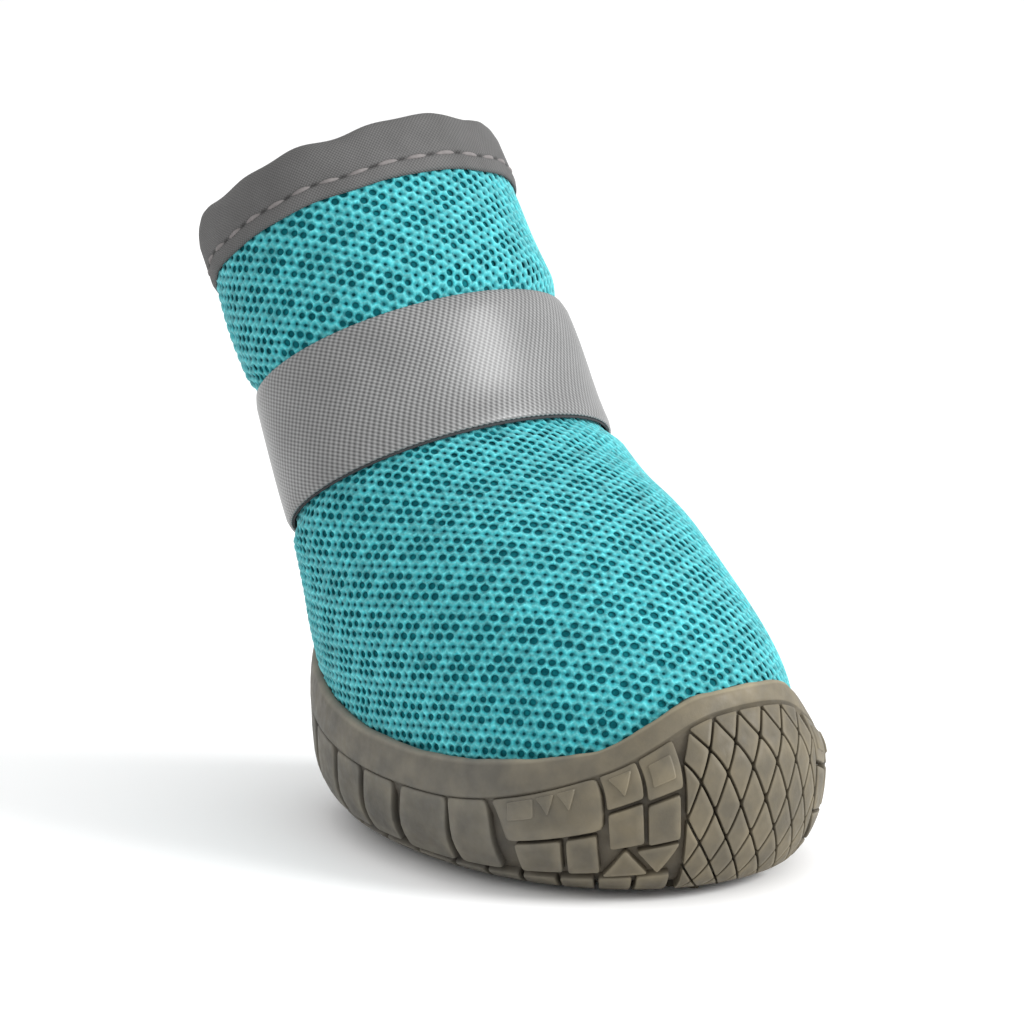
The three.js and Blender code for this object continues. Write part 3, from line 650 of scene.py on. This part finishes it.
def unroll_half():
    """Flat pattern of the upper's left half with a straight front ridge: flat points, triangles, places.

    The first flat map keeps angles. A few rounds then bring each triangle near its real size.
    """
    rows, columns = UNROLL_GRID
    lines = np.linspace(KNIT_LOW, UPPER_TOP, rows), np.linspace(0, math.pi, columns)
    share, angle = np.meshgrid(*lines, indexing="ij")
    points = upper_point(share, angle, 0).reshape(-1, 3)
    quads = grid_faces(rows, columns)
    triangles = np.concatenate([quads[:, [0, 1, 3]], quads[:, [1, 2, 3]]])
    a, b, c = (points[triangles[:, corner]] for corner in range(3))
    base = np.linalg.norm(b - a, axis=1)
    along = np.einsum("ij,ij->i", c - a, b - a) / base
    height = np.sqrt(np.maximum(np.einsum("ij,ij->i", c - a, c - a) - along ** 2, 1e-9))
    corner_place = np.stack([np.zeros_like(base) + 0j, base + 0j, along + 1j * height], 1)
    weight = np.roll(corner_place, 1, 1) - np.roll(corner_place, -1, 1)
    weight /= np.sqrt(base * height)[:, None]
    count, number = len(points), len(triangles)
    skew = complex_rows(triangles, weight, count)
    growth = complex_rows(triangles, weight.conj(), count)
    real_growth = np.abs((weight.conj() * corner_place).sum(1))
    ridge = np.arange(rows) * columns
    held = np.zeros(2 * count)
    held[count + ridge[-1]] = np.linalg.norm(np.diff(points[ridge], axis=0), axis=1).sum()
    fixed = np.zeros(2 * count, bool)
    fixed[ridge] = True
    fixed[count + ridge[[0, -1]]] = True
    flat = held.copy()
    free = skew[:, ~fixed]
    flat[~fixed] = np.linalg.solve(free.T @ free, -free.T @ (skew @ held))
    both = np.concatenate([skew, growth])
    free = both[:, ~fixed]
    normal = free.T @ free
    for _ in range(UNROLL_ROUNDS):
        turn = (growth @ flat).reshape(2, number)
        turn = turn * real_growth / np.linalg.norm(turn, axis=0)
        wanted = np.concatenate([np.zeros(2 * number), turn.ravel()])
        flat[~fixed] = np.linalg.solve(normal, free.T @ (wanted - both @ held))
    return flat.reshape(2, count).T, triangles, np.stack([share.ravel(), angle.ravel()], 1)


def locate(flat, triangles, places, wanted):
    """(share, angle) of flat points by the triangle that holds them, NaN outside."""
    found = np.full((len(wanted), 2), np.nan)
    for triangle in triangles:
        a, b, c = flat[triangle]
        low, high = flat[triangle].min(0) - 1e-6, flat[triangle].max(0) + 1e-6
        near = np.nonzero(((wanted >= low) & (wanted <= high)).all(1))[0]
        if len(near) == 0:
            continue
        sides = np.linalg.solve(np.array([b - a, c - a]).T, (wanted[near] - a).T).T
        inside = (sides.min(1) >= -1e-6) & (sides.sum(1) <= 1 + 1e-6)
        share = np.concatenate([1 - sides.sum(1, keepdims=True), sides], 1)[inside]
        found[near[inside]] = share @ places[triangle]
    return found


def turn_points(points, degrees):
    angle = math.radians(degrees)
    along, across = (math.cos(angle), math.sin(angle)), (-math.sin(angle), math.cos(angle))
    return np.asarray(points) @ np.array([along, across])


def knit_cells(flat):
    """Middles of the knit's holes in its own rows, and each hole's size as a share of an open one."""
    side, low, high = flat[:, 0].max(), flat[:, 1].min(), flat[:, 1].max()
    count = int(2 * max(side, abs(low), abs(high)) / KNIT_ROW)
    row, column = (index.ravel() for index in np.mgrid[-count:count + 1, -count:count + 1])
    middles = np.stack([KNIT_PITCH * (column + row / 2), KNIT_ROW * row], 1)
    place = turn_points(middles, KNIT_TURN)
    near = (np.abs(place[:, 0]) < side) & (place[:, 1] > low) & (place[:, 1] < high)
    tight = (row % KNIT_GROUP == 0) | (column % KNIT_GROUP == 0)
    return middles[near], np.where(tight, KNIT_TIGHT, 1.0)[near]


def make_knit(material):
    flat, triangles, places = unroll_half()
    middles, openness = knit_cells(flat)
    tall, wide = 2 * KNIT_ROW / 3, KNIT_PITCH / 2
    left = [(0, tall), (-wide, tall / 2), (-wide, -tall / 2)]
    corners = np.array(left + [(-x, -y) for x, y in left])
    outline = np.stack([corners, (corners + np.roll(corners, -1, 0)) / 2], 1).reshape(-1, 2)
    turn = even_turns(KNIT_POINTS) + math.pi / 2
    hole = np.stack([KNIT_HOLE[0] * np.cos(turn), KNIT_HOLE[1] * np.sin(turn)], 1)
    outlines = np.round((middles[:, None] + outline).reshape(-1, 2), 4)
    border, border_index = np.unique(outlines, axis=0, return_inverse=True)
    draw = np.random.default_rng(KNIT_SEED)
    border = border + draw.normal(0, KNIT_JITTER, border.shape)
    size = openness * (1 + draw.uniform(-KNIT_HOLE_SPREAD, KNIT_HOLE_SPREAD, len(middles)))
    moved = middles + draw.normal(0, KNIT_JITTER, middles.shape)
    ring = (moved[:, None] + hole * size[:, None, None]).reshape(-1, 2)
    wanted = turn_points(np.concatenate([border, ring]), KNIT_TURN)
    found = locate(flat, triangles, places, np.abs(wanted * (1, 0)) + wanted * (0, 1))
    found[:, 1] *= np.where(wanted[:, 0] < 0, -1, 1)
    border_index = border_index.reshape(-1, KNIT_POINTS)
    crest = np.concatenate([np.ones(len(border)), np.zeros(len(ring))])
    crest[border_index[:, KNIT_SIDE_POINTS]] = KNIT_BAR
    ring_index = len(border) + np.arange(len(ring)).reshape(-1, KNIT_POINTS)
    used = ~np.isnan(found[border_index, 0]).any(1) & ~np.isnan(found[ring_index, 0]).any(1)
    middle = found[ring_index].mean(1)
    height = upper_point(np.nan_to_num(middle[:, 0]), np.nan_to_num(middle[:, 1]), 0)[:, 2]
    rim = sole_point(1.0, np.nan_to_num(middle[:, 1]))[:, 2]
    used &= height > rim - KNIT_SINK
    outer, inner = border_index[used], ring_index[used]
    outer_next, inner_next = np.roll(outer, -1, 1), np.roll(inner, -1, 1)
    faces = np.stack([outer, outer_next, inner_next, inner], -1).reshape(-1, 4)
    kept, faces = np.unique(faces, return_inverse=True)
    found, crest = found[kept], crest[kept]
    out = KNIT_TROUGH + (KNIT_CREST - KNIT_TROUGH) * crest
    shape = Shape()
    shape.add(soft_upper(found[:, 0], found[:, 1], out), [faces.reshape(-1, 4)], crest)
    add_back_seam(shape)
    piece = shape.piece("upper_knit", material, "mesh")
    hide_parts("upper")


def add_back_seam(shape):
    """The join of the knit down the back, as two flat welts with a furrow between them."""
    across, out, tone = np.array(BACK_SEAM).T
    share = np.linspace(KNIT_LOW, UPPER_TOP, BACK_SEAM_STEPS)[:, None]
    angle = math.pi + across / blend_rows(UPPER, share)["half"]
    points = soft_upper(share, angle, out + 0 * angle)
    shape.add(points, [grid_faces(*angle.shape)[:, ::-1]], np.broadcast_to(tone, angle.shape))


def make_lining(material):
    shares = np.linspace(0.0, UPPER_TOP, LINING_STEPS)
    angles = even_turns(CLOTH_AROUND)
    rings = [soft_upper(share, angles, LINING_OUT) for share in shares]
    rings += [soft_upper(share, angles, -WALL) for share in shares[::-1]]
    shape = Shape()
    shape.add(rings, [grid_faces(len(rings), len(angles), wrap=True, loop=True)])
    shape.piece("upper_lining", material, "lining")


def make_insole(material):
    angles = even_turns(CLOTH_AROUND)
    rings = [upper_point(share, angles, -WALL - GAP - inset) for share, inset in INSOLE_PROFILE]
    top = rings[-1]
    for part in INSOLE_RINGS:
        rings.append(shrink(top, part) - (0, 0, INSOLE_DISH * (1 - part)))
    rings = [shrink(rings[0], INSOLE_UNDER)] + rings
    shape = Shape()
    faces = grid_faces(len(rings), len(angles), wrap=True)
    shape.add(rings, [faces, *end_caps(len(rings), len(angles))])
    piece = shape.piece("insole_pad", material, "lining")
    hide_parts("insole")


# Collar binding and its stitches

def binding_point(share, angle, out):
    """A point of the binding, whose upper edge waves more than its lower one."""
    lift = np.clip((share - BINDING_LOW) / (UPPER_TOP - BINDING_LOW), 0, BINDING_MOST_LIFT)
    rise = ripple(BINDING_WAVE, angle) * (BINDING_LOW_WAVE + (1 - BINDING_LOW_WAVE) * lift)
    sway = BINDING_SWAY * ripple(BINDING_WAVE, angle + BINDING_SWAY_PHASE)
    return upper_point(share + rise, angle, out + sway)


def make_binding(material):
    angles = np.linspace(math.pi, 3 * math.pi, BINDING_AROUND + 1)
    rings = [binding_point(share, angles, out) for share, out in BINDING_PROFILE]
    # The stitch groove is darkened as painted shade, most between the stitches
    between_stitches = angles / TURN * STITCH_COUNT % 1 > STITCH_FILL
    stitch_groove_shade = np.where(between_stitches, STITCH_GROOVE_SHADE_BETWEEN, STITCH_GROOVE_SHADE_UNDER)
    relief = [stitch_groove_shade if share == STITCH_SHARE else 0 * stitch_groove_shade for share, _ in BINDING_PROFILE]
    shape = Shape()
    shape.add(rings, [grid_faces(len(rings), len(angles), loop=True)], np.concatenate(relief))
    steps = [np.linalg.norm(b - a, axis=1).mean() for a, b in zip(rings, rings[1:])]
    across = np.cumsum([0] + steps)
    above_stitches = rings[BINDING_PROFILE.index((STITCH_SHARE, 0.58)) + 1]
    girth = np.linalg.norm(np.diff(above_stitches, axis=0), axis=1).sum()
    uv = [((angle - math.pi) / TURN * girth, place) for place in across for angle in angles]
    piece = shape.piece("collar_tape", material, "binding", uv)
    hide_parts("collar_binding")


def make_stitches(material):
    """Lockstitches along the binding, each a short rounded bead sunk at its ends."""
    shape = Shape()
    turns = even_turns(STITCH_SIDES)
    arch = np.sin(np.linspace(0, math.pi, STITCH_STEPS))
    thick = STITCH_TIP + (1 - STITCH_TIP) * np.sqrt(arch)
    faces = [grid_faces(STITCH_STEPS, STITCH_SIDES, wrap=True), *end_caps(STITCH_STEPS, STITCH_SIDES)]
    for index in range(STITCH_COUNT):
        start = index * TURN / STITCH_COUNT
        angle = start + np.linspace(0, STITCH_FILL * TURN / STITCH_COUNT, STITCH_STEPS)
        for face in STITCH_FACES:
            rings = []
            for place, rise, size in zip(angle, arch, thick):
                share = STITCH_SHARE + STITCH_SHARE_PER_MM * STITCH_HALF[0] * size * np.cos(turns)
                lift = face["out"] + face["sign"] * (STITCH_ARCH * rise - STITCH_SINK)
                out = lift + STITCH_HALF[1] * size * np.sin(turns)
                rings.append(binding_point(share, np.full(STITCH_SIDES, place), out))
            shape.add(rings, faces)
    shape.piece("collar_stitches", material, "binding")


# Strap

def strap_path(count):
    """Angles along the strap, and its lift where the end lies over the start."""
    turn = np.linspace(STRAP_START, STRAP_START + 360 + STRAP_OVERLAP, count)
    lap = STRAP_START + 360
    return np.radians(turn), (STRAP_THICK + STRAP_CROWN + GAP) * ease(turn, lap - STRAP_RAMP, lap)


def make_strap_layer(name, material, profile):
    """A strip along the strap's path from a profile of (place across, height off the upper)."""
    angle, lift = strap_path(STRAP_STEPS)
    across, out = np.array(profile).T
    share = STRAP_LOW + (STRAP_HIGH - STRAP_LOW) * across[None, :]
    points = upper_point(share, angle[:, None], lift[:, None] + out[None, :])
    steps = np.linalg.norm(np.diff(points.mean(1), axis=0), axis=1)
    along = np.concatenate([[0], np.cumsum(steps)])
    girth = np.concatenate([[0], np.cumsum(np.linalg.norm(np.diff(points[0], axis=0), axis=1))])
    uv = np.stack(np.broadcast_arrays(along[:, None], girth[None, :]), -1).reshape(-1, 2)
    count = len(profile)
    groups = [grid_faces(len(angle), count, wrap=True).tolist(), *end_caps(len(angle), count)]
    shape = Shape()
    shape.add(points, [[face[::-1] for face in group] for group in groups])
    return shape.piece(name, material, "tape", uv)


def make_strap(tape, backing):
    face = list(TAPE_EDGE)
    for place in np.linspace(TAPE_FACE["start"], TAPE_FACE["end"], TAPE_FACE["points"]):
        crown = STRAP_CROWN * math.sin(math.pi * place) ** TAPE_FACE["crown_power"]
        face.append((place, GAP + STRAP_THICK + crown))
    face += [(1 - place, height) for place, height in reversed(TAPE_EDGE)]
    piece = make_strap_layer("strap_tape", tape, face + TAPE_BACK)
    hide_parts("strap")
    make_strap_layer("strap_backing", backing, BACKING_AND_EDGE_SHADOW)


# Outsole

def rounded_outline(corners):
    """A polygon's outline with rounded corners and the same number of points on each side."""
    corners = np.asarray(corners, float)
    after, before = np.roll(corners, -1, 0), np.roll(corners, 1, 0)
    outline = []
    for corner, ahead, behind in zip(corners, after, before):
        start, end = corner + LUG_CORNER * (behind - corner), corner + LUG_CORNER * (ahead - corner)
        for step in (0.0, 0.5, 1.0):
            outline.append((1 - step) ** 2 * start + 2 * step * (1 - step) * corner + step ** 2 * end)
        next_start = ahead + LUG_CORNER * (corner - ahead)
        for step in range(1, LUG_EDGE_POINTS):
            outline.append(end + (next_start - end) * step / LUG_EDGE_POINTS)
    return np.array(outline)


def add_lug(shape, corners, top, place):
    """A lug from its corners: rings of its outline, drawn in and raised as its top's table says."""
    outline = rounded_outline(corners)
    middle = outline.mean(0)
    rings, relief = [], []
    for part, height in LUG_TOPS[top]:
        rings.append(place(middle + max(part, LUG_MIDDLE) * (outline - middle), height))
        # Painted shade: rings lower on the lug are darker; the top's edge ring is lighter from wear
        worn = LUG_EDGE_WEAR if LUG_EDGE_BAND[0] < part < LUG_EDGE_BAND[1] else 0.0
        tone = np.clip(LUG_TONE + worn + LUG_SHADE * height / LUG_HEIGHT, 0, 1)
        relief.append(np.full(len(outline), tone))
    _, top_cap = end_caps(len(rings), len(outline))
    shape.add(rings, [grid_faces(len(rings), len(outline), wrap=True), top_cap], np.concatenate(relief))


def on_skin(places, height):
    angle = np.radians(places[:, 0])
    return skin_point(places[:, 1] * rim_start(angle), angle, np.full(len(places), height))


def on_ground(places, height):
    return np.column_stack([places, np.full(len(places), -height)])


def side_lug_corners(turn, part, kind="block", lean=0, flare=0):
    start, end = turn
    low, high = part
    if kind == "point_down":
        return [((start + end) / 2, low), (end, high), (start, high)]
    if kind == "point_up":
        return [(start, low), (end, low), ((start + end) / 2, high)]
    return [(start, low), (end, low), (end + lean + flare, high), (start + lean - flare, high)]


def add_twins(shape, corners, top):
    add_lug(shape, corners, top, on_skin)
    add_lug(shape, [(-turn, part) for turn, part in reversed(corners)], top, on_skin)


def add_side_lugs(shape):
    for rows, top in ((SIDE_LUGS, "plain"), (SIDE_RELIEF, "raised")):
        for row in rows:
            add_twins(shape, side_lug_corners(**row), top)
    first, last = EDGE_LUGS["turn"]
    pitch = (last - first) / EDGE_LUGS["count"]
    for index in range(EDGE_LUGS["count"]):
        start = first + index * pitch
        turn = (start, start + EDGE_LUGS["fill"] * pitch)
        add_twins(shape, side_lug_corners(turn, EDGE_LUGS["part"]), "plain")


def add_toe_lugs(shape):
    low, high = TOE_LUGS["part"]
    half, rows, columns = TOE_LUGS["half"], TOE_LUGS["rows"], TOE_LUGS["columns"]
    wide, tall = 2 * half / columns, (high - low) / rows
    across, up = TOE_LUGS["fill"] * wide / 2, TOE_LUGS["fill"] * tall / 2

    def rhombus(turn, part):
        return [(turn + across, part), (turn, part + up), (turn - across, part), (turn, part - up)]

    for row in range(rows):
        for column in range(columns):
            corners = rhombus(-half + (column + 0.5) * wide, low + (row + 0.5) * tall)
            add_lug(shape, corners, "plain", on_skin)
    for row in range(1, rows + 1):
        for column in range(1, columns):
            corners = rhombus(-half + column * wide, low + row * tall)
            kept = [corner for corner in corners if row < rows or corner[1] < high + up / 2]
            add_lug(shape, kept, "plain", on_skin)
    for row in range(1, rows):
        corners = rhombus(half, low + row * tall)
        add_twins(shape, [corner for corner in corners if corner[0] < half + across / 2], "plain")


def tread_corners(row, local, side):
    return (turn_points(local, row["turn"]) + (row["x"], row["y"])) * (1, side)


def add_ribs(shape, row, side):
    """Chevrons over a leaf-shaped lug: two slanted bars at each step of its length."""
    reach = row["long"] / 2 - RIB_END
    half = RIB_REACH * row["wide"]
    for step in np.arange(-reach, reach, RIB_PITCH):
        for arm in (1, -1):
            tip, root = (step - RIB_SWEEP * half, arm * half), (step, 0.0)
            local = [root, tip, (tip[0] + RIB_WIDE, tip[1]), (root[0] + RIB_WIDE, root[1])]
            add_lug(shape, tread_corners(row, local, side), "rib", on_ground)


def add_tread_lugs(shape):
    for row in TREAD_LUGS:
        local = np.array(TREAD_SHAPES[row["kind"]]) * (row["long"] / 2, row["wide"] / 2)
        for side in (1, -1) if row.get("both") else (1,):
            add_lug(shape, tread_corners(row, local, side), row["top"], on_ground)
            if row["top"] == "ribbed":
                add_ribs(shape, row, side)
    under = UNDER_TOE_LUGS
    rhombus = np.array(TREAD_SHAPES["rhombus"]) * (under["long"] / 2, under["wide"] / 2)
    for index in range(under["rows"]):
        reach = under["half_y"] - under["narrowing"] * index
        start = under["pitch_y"] / 2 * (index % 2)
        for y in np.arange(start, reach, under["pitch_y"]):
            for side in (1, -1) if y > 0 else (1,):
                place = np.array([under["from_x"] + under["pitch_x"] * index, y * side])
                add_lug(shape, rhombus + place, "plain", on_ground)


def upper_share_at(height, angle):
    """Share of the upper at which its face passes a height, by bisection."""
    low, high = np.zeros_like(angle), np.full_like(angle, SEAT_HIGHEST)
    for _ in range(SEAT_ROUNDS):
        middle = (low + high) / 2
        below = upper_point(middle, angle, 0)[:, 2] < height
        low, high = np.where(below, middle, low), np.where(below, high, middle)
    return low


def add_sole_core(shape):
    """The rubber behind the lugs, with the smooth rim band, its lip and the inside of the cup."""
    angles = even_turns(SOLE_AROUND)
    start = rim_start(angles)
    # Painted light: the rim band and its lip grow lighter towards the toe
    toe = TOE_PAINTED_LIGHT * np.maximum(np.cos(angles), 0) ** TOE_LIGHT_SHARP
    uneven = ripple(RIM_RIPPLE, angles)
    rings, relief = [], []

    def add_ring(points, tone):
        rings.append(points)
        relief.append(tone + 0 * angles)

    # Painted shade: the grooves, their edges, the seat and the inside of the cup are darker
    ground = skin_point(0 * angles, angles, -LUG_HEIGHT + 0 * angles)
    for part in GROUND_RINGS:
        add_ring(shrink(ground, part), GROOVE_SHADE_TONE)
    for part in np.linspace(0, GROOVE_TOP, SOLE_STEPS):
        rise = GROOVE_RISE["height"] * ease(part, GROOVE_RISE["start"], GROOVE_RISE["end"])
        add_ring(skin_point(part * start, angles, rise - LUG_HEIGHT + 0 * angles), GROOVE_SHADE_TONE)
    for part, out in GROOVE_EDGE:
        add_ring(skin_point(part * start, angles, out + 0 * angles), GROOVE_EDGE_SHADE_TONE)
    for part, out in RIM_BAND:
        add_ring(skin_point(start + part * (1 - start), angles, out + uneven), RIM_TONE + toe)
    # Painted highlight: the lip is lighter than the rim band
    for lift, out in RIM_LIP:
        edge = skin_point(1 + 0 * angles, angles, out + uneven)
        rise = np.outer(lift + ripple(RIM_RIPPLE, 2 * angles), (0, 0, 1))
        add_ring(edge + rise, RIM_TONE + LIP_HIGHLIGHT + toe)
    seat = upper_share_at(rings[-1][:, 2] - SEAT_DROP, angles)
    add_ring(upper_point(seat, angles, SEAT_OUT), SEAT_SHADE_TONE)
    for part in CUP_RINGS:
        add_ring(upper_point(part * seat, angles, CUP_OUT), GROOVE_SHADE_TONE)
    floor = rings[-1].copy()
    floor[:, 2] = FLOOR_HEIGHT
    for part in FLOOR_RINGS:
        add_ring(shrink(floor, part), GROOVE_SHADE_TONE)
    size = len(rings), len(angles)
    shape.add(rings, [grid_faces(*size, wrap=True), *end_caps(*size)], np.concatenate(relief))


def make_outsole(material):
    shape = Shape()
    add_sole_core(shape)
    add_side_lugs(shape)
    add_toe_lugs(shape)
    add_tread_lugs(shape)
    piece = shape.piece("cup_sole", material, "rubber")
    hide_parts("outsole")


# Studio

def add_light(name, place, size, power):
    data = bpy.data.lights.new(name, "AREA")
    data.shape = "DISK"
    data.size = size
    data.energy = power
    light = add_object(name, data)
    light.location = place
    toward = Vector(to_frame(CAMERA_TARGET)) - Vector(place)
    light.rotation_euler = toward.to_track_quat("-Z", "Y").to_euler()


def make_floor():
    corners = [(FLOOR_HALF * x, FLOOR_HALF * y, 0) for x, y in ((-1, -1), (1, -1), (1, 1), (-1, 1))]
    mesh = bpy.data.meshes.new("floor")
    mesh.from_pydata(corners, [], [(0, 1, 2, 3)])
    material, _, shader = new_material("studio_white", 0.8, Specular_IOR_Level=0.1)
    shader.inputs["Base Color"].default_value = (0.96, 0.96, 0.96, 1)
    mesh.materials.append(material)
    floor = add_object("floor", mesh)


def make_studio():
    make_floor()
    world = bpy.data.worlds.new("studio")
    world.use_nodes = True
    background = world.node_tree.nodes["Background"]
    background.inputs["Color"].default_value = (1, 1, 1, 1)
    background.inputs["Strength"].default_value = 1.0
    bpy.context.scene.world = world
    bpy.context.scene.view_settings.view_transform = "Standard"
    for row in LIGHTS:
        add_light(**row)


def make_camera():
    azimuth, elevation = math.radians(CAMERA_AZIMUTH), math.radians(CAMERA_ELEVATION)
    level = math.cos(elevation)
    back = np.array([math.sin(azimuth) * level, -math.cos(azimuth) * level, math.sin(elevation)])
    data = bpy.data.cameras.new("camera")
    data.sensor_width = SENSOR_WIDTH
    data.lens = SENSOR_WIDTH * CAMERA_DISTANCE / VIEW_WIDTH
    data.clip_start = 0.01
    camera = add_object("camera", data)
    camera.location = to_frame(np.array(CAMERA_TARGET) + CAMERA_DISTANCE * back)
    camera.rotation_euler = Vector(-back).to_track_quat("-Z", "Y").to_euler()
    bpy.context.scene.camera = camera


make_camera()
make_studio()
make_knit(knit_material())
make_lining(lining_material())
make_insole(plain_cloth("insole_cloth", (0.02, 0.035, 0.038), roughness=0.95))
make_binding(woven_material(
    "binding_tape", dark=(0.075, 0.074, 0.073), light=(0.13, 0.128, 0.127), roughness=0.8, pitch_mm=0.5,
    slant=0.0, Specular_IOR_Level=0.25))
make_stitches(plain_cloth("thread", (0.2, 0.185, 0.183), roughness=0.75))
strap_tape = woven_material(
    "reflective_tape", dark=(0.03, 0.03, 0.03), light=(0.25, 0.25, 0.25), roughness=0.5, pitch_mm=0.85,
    slant=0.5, Specular_IOR_Level=0.5, Coat_Weight=0.55, Coat_Roughness=0.33)
make_strap(strap_tape, plain_cloth("strap_back_cloth", (0.045, 0.047, 0.05), roughness=0.85))
make_outsole(rubber_material())
